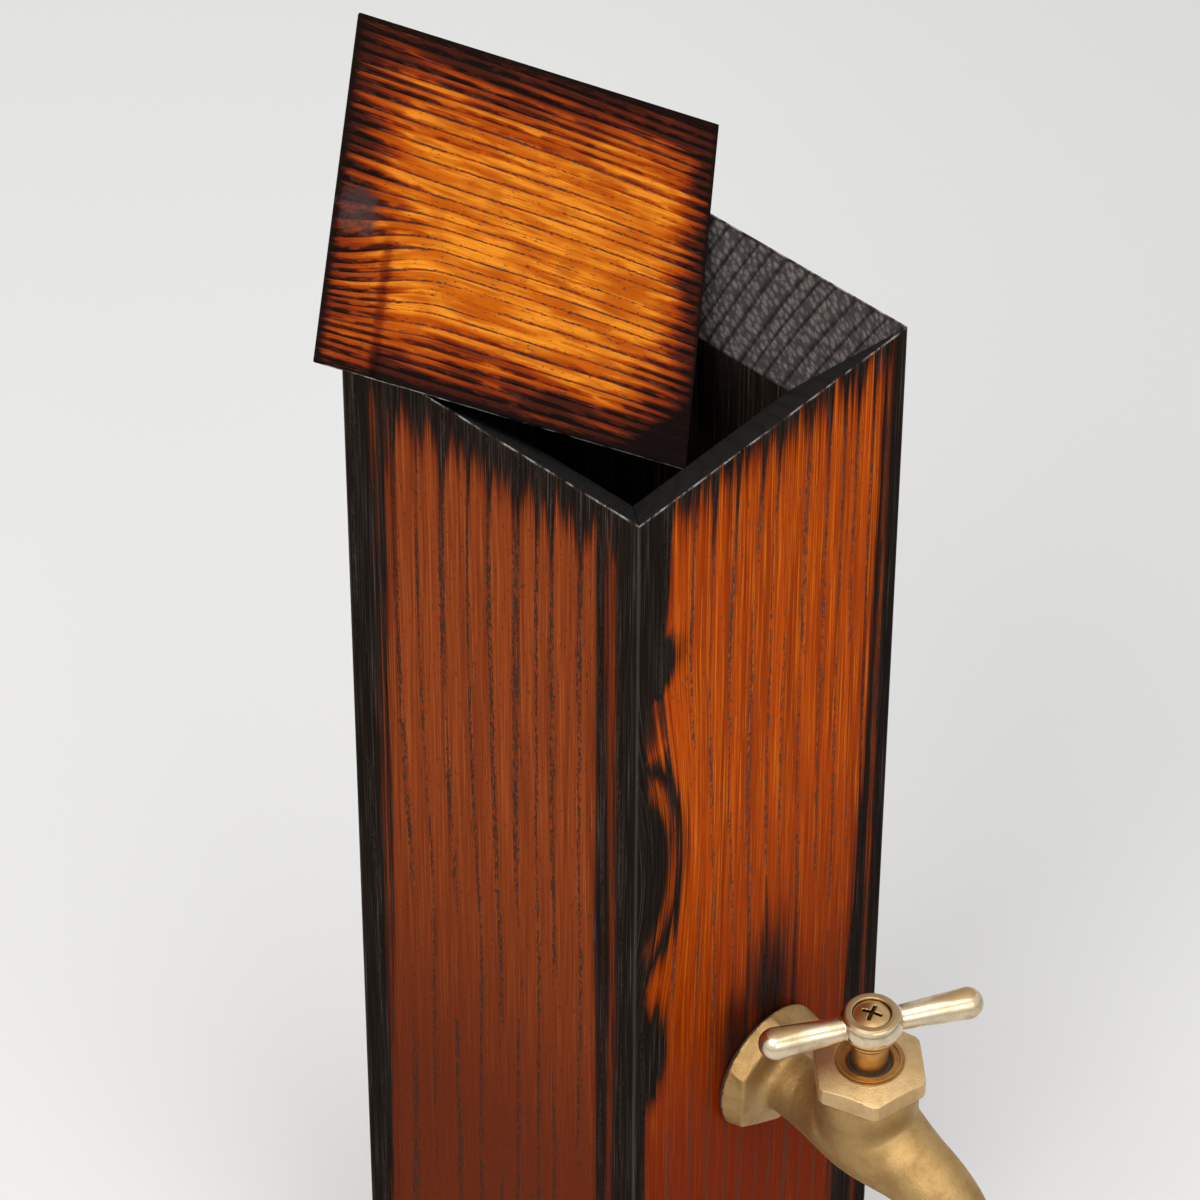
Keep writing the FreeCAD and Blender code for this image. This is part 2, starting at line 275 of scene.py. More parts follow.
def copyOfNode(node, name):
    piece = nodes[node].copy()
    piece.data = nodes[node].data.copy()
    piece.name = name
    piece.parent = None
    for key in list(piece.keys()):
        if key.startswith("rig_"):
            del piece[key]
    bpy.context.scene.collection.objects.link(piece)
    piece.data.materials.clear()
    makeActive(piece)
    bpy.ops.object.mode_set(mode="EDIT")
    bpy.ops.mesh.select_all(action="SELECT")
    bpy.ops.mesh.remove_doubles(threshold=0.002 * mm)
    bpy.ops.object.mode_set(mode="OBJECT")
    return piece


def dress(piece, material, body, slot, *replaced):
    piece.data.materials.clear()
    piece.data.materials.append(material)
    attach(piece, body)
    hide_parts(*replaced)


# ---- helpers for shader nodes

def setSocket(tree, socket, value):
    if isinstance(value, bpy.types.NodeSocket):
        tree.links.new(value, socket)
    elif socket.type == "RGBA":
        socket.default_value = (*value, 1)
    else:
        socket.default_value = value


def fill(tree, node, values):
    for socket, value in values.items():
        setSocket(tree, node.inputs[socket], value)
    return node


def addNode(tree, kind, values=None, **settings):
    node = tree.nodes.new(kind)
    for name, value in settings.items():
        setattr(node, name, value)
    return fill(tree, node, values or {})


def maths(tree, operation, *values):
    return addNode(tree, "ShaderNodeMath", dict(enumerate(values)), operation=operation).outputs[0]


def chain(tree, operation, first, *others):
    for other in others:
        first = maths(tree, operation, first, other)
    return first


def plus(tree, *values):
    return chain(tree, "ADD", *values)


def minus(tree, *values):
    return chain(tree, "SUBTRACT", *values)


def times(tree, *values):
    return chain(tree, "MULTIPLY", *values)


def over(tree, *values):
    return chain(tree, "DIVIDE", *values)


def largest(tree, *values):
    return chain(tree, "MAXIMUM", *values)


def apart(tree, first, second):
    return maths(tree, "ABSOLUTE", minus(tree, first, second))


def sumOfSquares(tree, first, second):
    return plus(tree, times(tree, first, first), times(tree, second, second))


def ovalReach(tree, first, second, oval):
    # squared distance from the middle of an oval, 1 on its rim
    wide = over(tree, minus(tree, first, oval["at"][0]), oval["size"][0])
    tall = over(tree, minus(tree, second, oval["at"][1]), oval["size"][1])
    return sumOfSquares(tree, wide, tall)


def ramp(tree, value, low, high, outLow=0.0, outHigh=1.0):
    values = dict(enumerate((value, low, high, outLow, outHigh)))
    return addNode(tree, "ShaderNodeMapRange", values, interpolation_type="SMOOTHSTEP").outputs[0]


def fade(tree, value, low, high, most=1.0):
    return ramp(tree, value, low, high, most, 0.0)


def between(tree, value, start, full, fading, end):
    return times(tree, ramp(tree, value, start, full), fade(tree, value, fading, end))


def blendColours(tree, share, first, second, mode="MIX"):
    values = {0: share, 6: first, 7: second}
    return addNode(tree, "ShaderNodeMix", values, data_type="RGBA", blend_type=mode).outputs[2]


def layered(tree, colour, *layers):
    for share, shade in layers:
        colour = blendColours(tree, share, colour, shade)
    return colour


def vectorMaths(tree, operation, first, second):
    return addNode(tree, "ShaderNodeVectorMath", {0: first, 1: second}, operation=operation).outputs[0]


def stretch(tree, vector, *scale):
    return vectorMaths(tree, "MULTIPLY", vector, scale)


def splitAxes(tree, vector):
    return addNode(tree, "ShaderNodeSeparateXYZ", {0: vector}).outputs


def joinAxes(tree, x, y, z):
    return addNode(tree, "ShaderNodeCombineXYZ", {0: x, 1: y, 2: z}).outputs[0]


def noise(tree, vector, scale, detail=2.0, roughness=0.5):
    values = {
        "Vector": stretch(tree, vector, *scale),
        "Scale": 1.0,
        "Detail": detail,
        "Roughness": roughness,
    }
    return addNode(tree, "ShaderNodeTexNoise", values).outputs["Fac"]


def bump(tree, height, depth):
    values = {"Height": height, "Distance": depth * mm, "Strength": 1.0}
    return addNode(tree, "ShaderNodeBump", values).outputs[0]


def newGroup(name, inputs, outputs):
    group = bpy.data.node_groups.new(name, "ShaderNodeTree")
    for socket, value in inputs.items():
        kind = "NodeSocketVector" if isinstance(value, tuple) else "NodeSocketFloat"
        group.interface.new_socket(socket, in_out="INPUT", socket_type=kind).default_value = value
    for socket in outputs:
        group.interface.new_socket(socket, in_out="OUTPUT", socket_type="NodeSocketFloat")
    given = group.nodes.new("NodeGroupInput").outputs
    return group, given, group.nodes.new("NodeGroupOutput")


def useGroup(tree, name, **values):
    group = bpy.data.node_groups[name]
    return addNode(tree, "ShaderNodeGroup", values, node_tree=group).outputs


def newMaterial(name):
    material = bpy.data.materials.new(name)
    material.use_nodes = True
    return material, material.node_tree, material.node_tree.nodes["Principled BSDF"]


def spotOnPiece(tree, turn=(0, 0, 0), origin=(0, 0, 0)):
    coordinates = addNode(tree, "ShaderNodeTexCoord").outputs["Object"]
    values = {"Vector": coordinates, "Location": origin, "Rotation": turn}
    local = addNode(tree, "ShaderNodeMapping", values, vector_type="TEXTURE").outputs[0]
    return stretch(tree, local, 1 / mm, 1 / mm, 1 / mm)      # millimetres from here on


# ---- shared effects

def makeOakGrain():
    # Place runs across the board in x, through it in y and along the grain in z
    inputs = {"Place": (0, 0, 0), "Heart": (0, 0, 0), "Spacing": 4.0, "Wander": 6.0}
    outputs = ["Early", "Pores", "Fibres", "Figure", "Rings", "Rungs"]
    group, given, results = newGroup("oakGrain", inputs, outputs)
    spot = given["Place"]
    slow = noise(group, spot, (0.013, 0.013, 0.007), 1.0)
    drift = times(group, minus(group, slow, 0.5), given["Wander"])
    across, deep, along = splitAxes(group, vectorMaths(group, "SUBTRACT", spot, given["Heart"]))
    radius = plus(group, maths(group, "SQRT", sumOfSquares(group, across, deep)), drift)
    uneven = noise(group, joinAxes(group, radius, 0, along), (0.13, 1.0, 0.002), 1.0)
    count = plus(group, over(group, radius, given["Spacing"]), times(group, uneven, 1.1))
    rings = maths(group, "FRACT", count)
    patchy = ramp(group, noise(group, spot, (0.25, 0.25, 0.014), 1.0), 0.32, 0.52, 0.15, 1.0)
    early = times(group, between(group, rings, 0.0, 0.07, 0.14, 0.32), patchy)
    dashes = times(group, noise(group, spot, (2.2, 2.2, 0.10), 1.0), 0.4)
    stipple = times(group, noise(group, spot, (2.6, 2.6, 0.8), 1.0), 0.6)
    limit = ramp(group, early, 0.0, 1.0, 0.63, 0.475)
    turned = times(group, maths(group, "ARCTAN2", across, deep), 100.0)
    fan = joinAxes(group, turned, radius, times(group, along, 0.2))
    cells = {"Vector": stretch(group, fan, 1.75, 0.50, 1.0), "Scale": 1.0, "Randomness": 0.85}
    rungs = addNode(group, "ShaderNodeTexVoronoi", cells).outputs["Distance"]
    fill(group, results, {
        "Early": early,
        "Pores": ramp(group, plus(group, dashes, stipple), limit, plus(group, limit, 0.05)),
        "Fibres": noise(group, spot, (2.3, 2.3, 0.030), 2.0, 0.6),
        "Figure": noise(group, spot, (0.36, 0.36, 0.006), 2.0, 0.6),
        "Rings": rings,
        "Rungs": fade(group, rungs, 0.18, 0.72),
    })


def makeScorchEdge():
    # Distance is measured in millimetres from the burnt edge into the clean wood
    inputs = {
        "Distance": 0.0, "Depth": 8.0, "Tongue": 6.0, "Ragged": 3.0, "Soft": 1.0, "Warm": 4.0,
        "Sliver": -50.0, "SliverWidth": 1.0, "SliverGlow": 0.3, "Early": 0.0, "Figure": 0.5, "Fibres": 0.5,
    }
    group, given, results = newGroup("scorchEdge", inputs, ["Char", "Heat"])
    swing = plus(group, given["Figure"], times(group, given["Fibres"], 0.7))
    swing = times(group, minus(group, swing, 0.85), 2.4, given["Ragged"])
    reach = plus(group, given["Depth"], swing, times(group, given["Early"], given["Tongue"]))
    past = minus(group, given["Distance"], reach)
    char = fade(group, over(group, past, given["Soft"]), -1.0, 1.0)
    heat = fade(group, over(group, past, given["Warm"]), -0.3, 1.0)
    beside = over(group, apart(group, given["Distance"], given["Sliver"]), given["SliverWidth"])
    beside = plus(group, beside, times(group, ramp(group, given["Fibres"], 0.42, 0.66), 0.7))
    sliver = times(group, fade(group, beside, 0.3, 1.0), ramp(group, given["Figure"], 0.34, 0.50))
    glow = times(group, sliver, given["SliverGlow"])
    fill(group, results, {
        "Char": times(group, char, minus(group, 1.0, sliver)),
        "Heat": times(group, heat, minus(group, 1.0, glow)),
    })


def makeCastSkin():
    group, given, results = newGroup("castSkin", {"Place": (0, 0, 0), "Grit": 0.5}, ["Height", "Tarnish"])
    spot = given["Place"]
    grit = times(group, noise(group, spot, (2.6,) * 3, 3.0, 0.6), given["Grit"])
    fill(group, results, {
        "Height": plus(group, grit, noise(group, spot, (0.4,) * 3)),
        "Tarnish": noise(group, spot, (0.17,) * 3, 4.0, 0.65),
    })


# ---- oak

charBlack = (0.0095, 0.0064, 0.0047)
charGrey = (0.041, 0.030, 0.024)
# painted glint grey for flecks on the char's fibres
charGlintGrey = (0.150, 0.134, 0.126)
ember = (0.080, 0.010, 0.002)
# painted highlight grey for the arrises of the boards and the lid
highlightGrey = (0.30, 0.285, 0.27)

footShadeHeights = (120.0, 270.0)             # painted shade, partly smoke: the wood is darker towards the foot and brightens from the first height to the second
openHeights = (rim - 75, rim - 12)      # and the pore lines darken

boards = {
    "front_board": {
        "turn": 0,
        "heart": (-92, 58),
        "spacing": 4.1,
        "wander": 8,
        "light": (0.48, 0.068, 0.002),
        "deep": (0.17, 0.015, 0.001),
        "glint": (0.72, 0.185, 0.006),
        "strip": (0.100, 0.042, 0.024),
        "bead": (0.021, 0.021, 0.020),
        "gap": (0.012, 0.012, 0.012),
        "cracks": 0.35,
        "bulge": {"at": (-46, 245), "size": (34, 62), "push": 9.0},
        "edges": {
            "left": {"Depth": 3.4, "Tongue": 1.0, "Ragged": 2.5, "Soft": 0.5, "Warm": 3.0},
            "right": {"Depth": 6.5, "DepthFoot": 15.0, "Tongue": 1.5, "Ragged": 3.0, "Soft": 0.6, "Warm": 3.4,
                      "Sliver": 5.2, "SliverWidth": 1.7},
            "top": {"Depth": 4.0, "Tongue": 11.0, "Ragged": 15.0, "Soft": 4.5, "Warm": 14.0},
            "foot": {"Depth": 8.0, "Tongue": 12.0, "Ragged": 6.0, "Soft": 3.0, "Warm": 14.0},
        },
        "spots": [
            {"at": (-46, 334), "size": (11, 42), "Ragged": 3.0, "Soft": 0.6, "Warm": 3.0},
            {"at": (-45, 308), "size": (14.5, 11), "Ragged": 5.0, "Soft": 0.9, "Warm": 5.0},
            {"at": (-46, 293), "size": (9, 14), "Depth": -2.0, "Ragged": 5.0, "Soft": 4.0, "Warm": 7.0},
            {"at": (-46, 245), "size": (18.5, 37), "Ragged": 3.2, "Soft": 0.6, "Warm": 3.0, "Sliver": -3.9,
             "SliverWidth": 3.2, "SliverGlow": 0.65},
            {"at": (-46, 182), "size": (12, 20), "Ragged": 5.0, "Soft": 0.9, "Warm": 5.0},
            # these two soft dark patches above the tap flange are partly scorch and partly painted shadow of
            # the tap
            {"at": (4, 172), "size": (7, 20), "Depth": -2.0, "Tongue": 4.0, "Ragged": 4.0, "Soft": 7.0,
             "Warm": 8.0},
            {"at": (-8, 164), "size": (6, 14), "Depth": -3.0, "Tongue": 3.0, "Ragged": 3.0, "Soft": 7.0,
             "Warm": 9.0},
        ],
    },
    "left_board": {
        "turn": 270,
        "heart": (-96, 40),
        "spacing": 5.2,
        "wander": 6,
        "light": (0.250, 0.047, 0.009),
        "deep": (0.120, 0.019, 0.005),
        "glint": (0.34, 0.082, 0.018),
        "strip": (0.042, 0.023, 0.014),
        "bead": (0.023, 0.023, 0.022),
        "gap": (0.013, 0.013, 0.013),
        "cracks": 0.35,
        "edges": {
            "left": {"Depth": 13.5, "DepthFoot": 7.5, "Tongue": 1.5, "Ragged": 2.6, "Soft": 0.5, "Warm": 3.0,
                     "Sliver": 9.4, "SliverWidth": 1.9, "SliverGlow": 0.5},
            "right": {"Depth": 12.5, "DepthFoot": 11.5, "Tongue": 1.5, "Ragged": 1.6, "Soft": 0.5,
                      "Warm": 2.6, "Sliver": 8.0, "SliverWidth": 2.9, "SliverGlow": 0.3},
            "top": {"Depth": 11.0, "Tongue": 12.0, "Ragged": 14.0, "Soft": 4.5, "Warm": 12.0},
            "foot": {"Depth": 9.0, "Tongue": 14.0, "Ragged": 6.0, "Soft": 3.0, "Warm": 14.0},
        },
        "spots": [],
    },
    "rear_board": {
        "turn": 180,
        "heart": (90, 52),
        "spacing": 3.6,
        "wander": 11,
        "light": (0.34, 0.056, 0.005),
        "deep": (0.15, 0.018, 0.002),
        "glint": (0.48, 0.115, 0.010),
        "strip": (0.065, 0.032, 0.020),
        # painted sheen: this bevel's char is painted light grey where light catches it, while the front and
        # left bevels keep near black
        "bead": (0.125, 0.110, 0.105),
        "gap": (0.036, 0.032, 0.031),
        "cracks": 0.75,
        "bulge": {"at": (46, 205), "size": (30, 48), "push": -7.0},
        "edges": {
            "left": {"Depth": 8.0, "Tongue": 1.5, "Ragged": 2.4, "Soft": 0.5, "Warm": 2.6, "Sliver": 5.4},
            "right": {"Depth": 6.0, "Tongue": 1.5, "Ragged": 2.0, "Soft": 0.5, "Warm": 2.6},
            "top": {"Depth": 7.0, "Tongue": 18.0, "Ragged": 6.0, "Soft": 3.2, "Warm": 10.0},
            "foot": {"Depth": 9.0, "Tongue": 14.0, "Ragged": 6.0, "Soft": 3.0, "Warm": 12.0},
        },
        "spots": [
            {"at": (46, 205), "size": (15, 27), "Ragged": 3.0, "Soft": 0.8, "Warm": 4.0, "Sliver": -4.0,
             "SliverWidth": 2.0},
        ],
    },
    "right_board": {
        "turn": 90,
        "heart": (-150, 8),
        "spacing": 4.3,
        "wander": 9,
        "light": (0.38, 0.060, 0.004),
        "deep": (0.16, 0.018, 0.001),
        "glint": (0.54, 0.130, 0.010),
        "strip": (0.080, 0.037, 0.022),
        # painted sheen: this bevel's char is painted light grey where light catches it, while the front and
        # left bevels keep near black
        "bead": (0.140, 0.123, 0.118),
        "gap": (0.037, 0.033, 0.032),
        "cracks": 0.75,
        "edges": {
            "left": {"Depth": 7.0, "Tongue": 1.5, "Ragged": 2.2, "Soft": 0.5, "Warm": 2.6},
            "right": {"Depth": 7.5, "Tongue": 1.5, "Ragged": 2.2, "Soft": 0.5, "Warm": 2.6, "Sliver": 5.0},
            "top": {"Depth": 7.0, "Tongue": 18.0, "Ragged": 6.0, "Soft": 3.2, "Warm": 10.0},
            "foot": {"Depth": 9.0, "Tongue": 14.0, "Ragged": 6.0, "Soft": 3.0, "Warm": 12.0},
        },
        "spots": [
            {"at": (-46, 262), "size": (13, 28), "Ragged": 3.0, "Soft": 0.8, "Warm": 4.0},
        ],
    },
}


def oakGrain(tree, spot, look):
    return useGroup(tree, "oakGrain", Place=spot, Heart=(*look["heart"], 0), Spacing=look["spacing"],
                    Wander=look["wander"])


def burnAlong(tree, distance, burn, grain, height):
    values = {name: value for name, value in burn.items() if name not in ("at", "size", "DepthFoot")}
    if "DepthFoot" in burn:
        values["Depth"] = ramp(tree, height, foot, rim, burn["DepthFoot"], burn["Depth"])
    for name in ("Early", "Figure", "Fibres"):
        values[name] = grain[name]
    return useGroup(tree, "scorchEdge", Distance=distance, **values)


def scorchMasks(tree, look, grain, across, height):
    distances = {
        "left": plus(tree, across, half),
        "right": minus(tree, half, across),
        "top": minus(tree, rim, height),
        "foot": minus(tree, height, foot),
    }
    burns = [burnAlong(tree, distances[side], burn, grain, height) for side, burn in look["edges"].items()]
    for spot in look["spots"]:
        radius = maths(tree, "SQRT", ovalReach(tree, across, height, spot))
        distance = times(tree, minus(tree, radius, 1.0), spot["size"][0])
        burns.append(burnAlong(tree, distance, dict({"Depth": 0.0, "Tongue": 2.0}, **spot), grain, height))
    return [largest(tree, *[burn[mask] for burn in burns]) for mask in ("Char", "Heat")]


def charColour(tree, grain):
    hatch = times(tree, ramp(tree, grain["Fibres"], 0.46, 0.66), 0.55)
    hatch = plus(tree, hatch, times(tree, grain["Pores"], 0.35))
    # painted glints: light grey flecks on the char's brightest fibres
    charGlints = times(tree, ramp(tree, grain["Fibres"], 0.64, 0.72), 0.28)
    return layered(tree, charBlack, (hatch, charGrey), (charGlints, charGlintGrey))


def oakColours(tree, look, grain, char, heat, height=200.0):
    tone = times(tree, ramp(tree, grain["Figure"], 0.36, 0.64), 0.55)
    # painted shade, partly smoke: the wood darkens towards the foot, and its painted glints dim there too
    tone = largest(tree, tone, fade(tree, height, *footShadeHeights, 0.95))
    threads = times(tree, ramp(tree, grain["Fibres"], 0.50, 0.68), 0.60)
    shine = ramp(tree, height, *footShadeHeights, 0.10, 0.65)
    glints = times(tree, fade(tree, grain["Fibres"], 0.32, 0.46), shine)
    lines = times(tree, grain["Early"], ramp(tree, height, *openHeights, 0.16, 0.62))
    strips = plus(tree, times(tree, grain["Pores"], 0.80), lines)
    return layered(
        tree, look["light"],
        (tone, look["deep"]),
        (threads, look["deep"]),
        (glints, look["glint"]),
        (strips, look["strip"]),
        (times(tree, heat, 0.90), ember),
        (char, charColour(tree, grain)),
    )


def bendAround(tree, spot, across, height, bulge):
    # the grain bows out beside a knot
    level = fade(tree, apart(tree, height, bulge["at"][1]), 0.0, bulge["size"][1], bulge["push"])
    beside = fade(tree, apart(tree, across, bulge["at"][0]), 0.0, bulge["size"][0])
    return vectorMaths(tree, "SUBTRACT", spot, joinAxes(tree, times(tree, level, beside), 0, 0))


def ladderMasks(tree, grain, spot):
    # end grain burnt open: rungs between the rings, with a crack along each ring
    crumbs = ramp(tree, noise(tree, spot, (2.6,) * 3), 0.34, 0.62, 0.50, 1.0)
    clear = between(tree, grain["Rings"], 0.03, 0.30, 0.86, 1.0)
    return times(tree, grain["Rungs"], crumbs), minus(tree, 1.0, clear)


def arrisHighlight(tree, spot, across, inward, fall):
    # painted highlight in patches along the rim's arris and faintly down the corners, where light catches the
    # edges
    inPatches = ramp(tree, noise(tree, spot, (0.22,) * 3, 5.0, 0.75), 0.42, 0.62)
    rimLine = times(tree, fade(tree, plus(tree, inward, fall), 0.25, 0.8), inPatches)
    fromCorner = plus(tree, inward, minus(tree, half, maths(tree, "ABSOLUTE", across)))
    return largest(tree, rimLine, fade(tree, fromCorner, 0.2, 0.7, 0.10))


def charredOak(name, look):
    material, tree, shader = newMaterial(name)
    spot = spotOnPiece(tree, turn=(0, 0, math.radians(look["turn"])))
    across, deep, height = splitAxes(tree, spot)
    laid = bendAround(tree, spot, across, height, look["bulge"]) if "bulge" in look else spot
    grain = oakGrain(tree, laid, look)
    char, heat = scorchMasks(tree, look, grain, across, height)
    inward = plus(tree, deep, half)                   # depth below the outer face
    away = ramp(tree, inward, 0.15, 0.9)
    char = largest(tree, char, away)
    fall = minus(tree, rim, height)
    belowBevel = minus(tree, fall, times(tree, inward, bevelDrop / wall))
    onBevel = times(tree, fade(tree, belowBevel, 0.3, 1.0), away)
    beads, cracks = ladderMasks(tree, grain, spot)
    cracks = times(tree, cracks, look["cracks"])
    endGrain = layered(tree, look["gap"], (beads, look["bead"]), (cracks, charBlack))
    pits = times(tree, grain["Pores"], -0.6)
    threads = times(tree, grain["Fibres"], ramp(tree, char, 0.0, 1.0, 0.35, 1.6))
    fill(tree, shader, {
        "Base Color": layered(
            tree, oakColours(tree, look, grain, char, heat, height),
            (onBevel, endGrain),
            (arrisHighlight(tree, spot, across, inward, fall), highlightGrey),
        ),
        "Roughness": ramp(tree, char, 0.0, 1.0, 0.40, 0.52),
        "Coat Weight": ramp(tree, char, 0.0, 1.0, 0.02, 0.006),
        "Coat Roughness": 0.20,
        "Specular IOR Level": 0.004,
        "Normal": bump(tree, plus(tree, pits, threads, times(tree, beads, onBevel, 2.0)), 0.16),
    })
    return material


wallMesh = {
    "alongCuts": (7, 10),      # 88 lengths up the board
    "acrossCuts": (13, 14),    # 210 widths
    "throughCuts": (19,),
    "arris": 0.22,
    "grooves": (0.9, 0.9, 26.0),
    "grooveDepth": 0.30,
    "charReach": 11.0,         # the grooves fade out this far from the edges
    "skin": 0.3,               # deeper than this, they are everywhere
    "inside": 0.8,
    "arrisClear": 0.4,         # no grooves this near an arris
    "arrisFade": 1.5,
    "floorClear": 0.08,        # round the floor board where it is let in
    "shankHole": 8.6,
}


def nearEdge(spot):
    if spot.y > -half + wallMesh["skin"]:
        return wallMesh["inside"]
    edge = min(half - abs(spot.x), rim - spot.z, spot.z - foot)
    atArris = min(1, max(0, (edge - wallMesh["arrisClear"]) / wallMesh["arrisFade"]))
    return max(0, 1 - edge / wallMesh["charReach"]) * atArris


def onInnerRim(edge):
    return all(vert.co.y > (-inner - 1) * mm and vert.co.z > (rim - 1) * mm for vert in edge.verts)


def bevelArris(piece):
    addModifier(piece, "BEVEL", width=wallMesh["arris"] * mm, segments=2, limit_method="ANGLE")
    applyModifiers(piece)


def shapeWall():
    piece = addCube((-half, -half, foot), (half, -inner, rim))
    bpy.ops.object.mode_set(mode="EDIT")
    pick("FACE", lambda face: face.normal.y > 0.9)
    bpy.ops.transform.resize(value=(inner / half, 1, 1), center_override=(0, -inner * mm, rim * mm))
    pick("EDGE", onInnerRim)
    bpy.ops.transform.translate(value=(0, 0, -bevelDrop * mm))
    cutAcross(2, 0.9, *wallMesh["alongCuts"])
    cutAcross(0, 0.9, *wallMesh["acrossCuts"])
    cutAcross(1, 0.5, *wallMesh["throughCuts"])
    bpy.ops.object.mode_set(mode="OBJECT")
    bevelArris(piece)
    weigh(piece, "scorched", nearEdge)
    return piece


def cutForFloor(piece):
    clear = Vector((1, 1, 1)) * wallMesh["floorClear"]
    cutAway(piece, addCube(floorLow / mm - clear, floorHigh / mm + clear))


def cutForShank(piece):
    middle = (shank.x, -(half - wall / 2), shank.z)
    cutAway(piece, addRod(wallMesh["shankHole"], 2 * wall, middle, (math.pi / 2, 0, 0)))


def modelBoards():
    for node, look in boards.items():
        piece = shapeWall()
        piece.name = node + "_charred"
        roughen(piece, node + "Grooves", wallMesh["grooves"], -wallMesh["grooveDepth"], "scorched", 0.35)
        cutForFloor(piece)
        if node == "front_board":
            cutForShank(piece)
        settle(piece, Matrix.Rotation(math.radians(look["turn"]), 4, "Z"))
        dress(piece, charredOak(node + "Oak", look), "cask", "charred_oak", node)


# ---- lid

lid = {
    "spin": -49.7,             # about its own normal
    "tilt": 32.39,             # lean away from level
    "yaw": 1.19,
    "centre": (-2.07, 29.0, 367.34),
    "edge": 1.0,               # square arris above the undercut
    "acrossCuts": (9, 14),     # 150 widths each way
    "throughCuts": 9,
    "heart": (-190, -70),
    "spacing": 2.5,
    "wander": 9,
    "lean": 0.06,              # slant of the grain
    "dip": {"across": -18, "reach": 26.0, "along": (-48.0, -16.0), "depth": 9.0},
    "margins": {"left": 10.0, "right": 6.0, "back": 13.0, "front": 9.5, "corner": 14.0},
    "cornerCut": 15.0,         # burnt black from the corner to here
    "bright": (0.66, 0.220, 0.013),
    "gold": (0.41, 0.085, 0.002),
    "amber": (0.30, 0.046, 0.001),
    "red": (0.170, 0.019, 0.001),
    "brown": (0.040, 0.006, 0.002),
    "char": (0.006, 0.003, 0.0025),
    "pore": (0.045, 0.027, 0.025),
    "smoke": (0.042, 0.026, 0.026),
    "smokePatch": {"at": (-39, -5), "size": (6, 8)},
    "stroke": {"along": -31.0, "width": (0.4, 1.9), "across": (-12.0, -6.0), "tint": (0.42, 0.22, 0.20)},
    "lidEdgeHighlight": {"across": (-half - 0.1, -half + 0.5), "up": (-1.5, -1.1, -0.65, -0.3)},
}
lidFoot = half - (wall - lid["edge"]) * wall / bevelDrop
lidYaw = Matrix.Rotation(math.radians(lid["yaw"]), 4, "Z")
lidTilt = Matrix.Rotation(math.radians(lid["tilt"]), 4, "X")
lidTurn = lidYaw @ lidTilt @ Matrix.Rotation(math.radians(lid["spin"]), 4, "Z")
lidPlace = Matrix.Translation(Vector(lid["centre"]) * mm) @ lidTurn


def lidReach(tree, along, across):
    # distance from the edges, counted in margins, with the burnt corner taken off
    distances = {
        "left": plus(tree, along, half),
        "right": minus(tree, half, along),
        "back": minus(tree, half, across),
        "front": plus(tree, across, half),
        "corner": minus(tree, plus(tree, across, 2 * half), along, lid["cornerCut"]),
    }
    shares = [over(tree, distances[side], margin) for side, margin in lid["margins"].items()]
    reach = shares[0]
    for share in shares[1:]:
        reach = maths(tree, "SMOOTH_MIN", reach, share, 0.35)
    return reach


def lidSwirl(tree, spot, along, across):
    # the grain dips towards one end, as beside a knot
    dip = lid["dip"]
    near = fade(tree, apart(tree, across, dip["across"]), 0.0, dip["reach"])
    sunk = times(tree, fade(tree, along, *dip["along"], dip["depth"]), near)
    shift = plus(tree, sunk, times(tree, along, lid["lean"]))
    return vectorMaths(tree, "ADD", spot, joinAxes(tree, 0, shift, 0))


def lidBurn(tree, grain, crisp, reach, laid, along, across):
    # each row of grain burns inwards a different way, and the dark rows stand out in the margins
    broad = minus(tree, noise(tree, laid, (0.055, 0.085, 0.05)), 0.5)
    rowEnds = minus(tree, noise(tree, laid, (0.030, 0.45, 0.1), 1.0), 0.5)
    reached = plus(tree, reach, times(tree, broad, 1.7), times(tree, rowEnds, 2.3))
    stroke = lid["stroke"]["along"]
    ladder = times(tree, fade(tree, along, stroke - 2, stroke + 1), fade(tree, across, -6.0, 2.0))
    ragged = plus(tree, reached, crisp, minus(tree, grain["Fibres"], 0.5))
    margin = times(tree, fade(tree, ragged, -0.2, 1.9), minus(tree, 1.0, times(tree, ladder, 0.4)))
    corner = fade(tree, reach, -0.9, -0.2, 0.5)
    bands = between(tree, grain["Rings"], 0.0, 0.14, 0.36, 0.72)
    strength = largest(tree, fade(tree, reached, 0.5, 2.6, 0.62), times(tree, ladder, 0.75))
    broken = ramp(tree, noise(tree, laid, (0.17, 0.60, 0.3)), 0.38, 0.56, 0.22, 1.0)
    rows = times(tree, bands, strength, broken)
    early = times(tree, grain["Early"], 0.32)
    return plus(tree, margin, corner, rows, early, times(tree, crisp, 0.75))


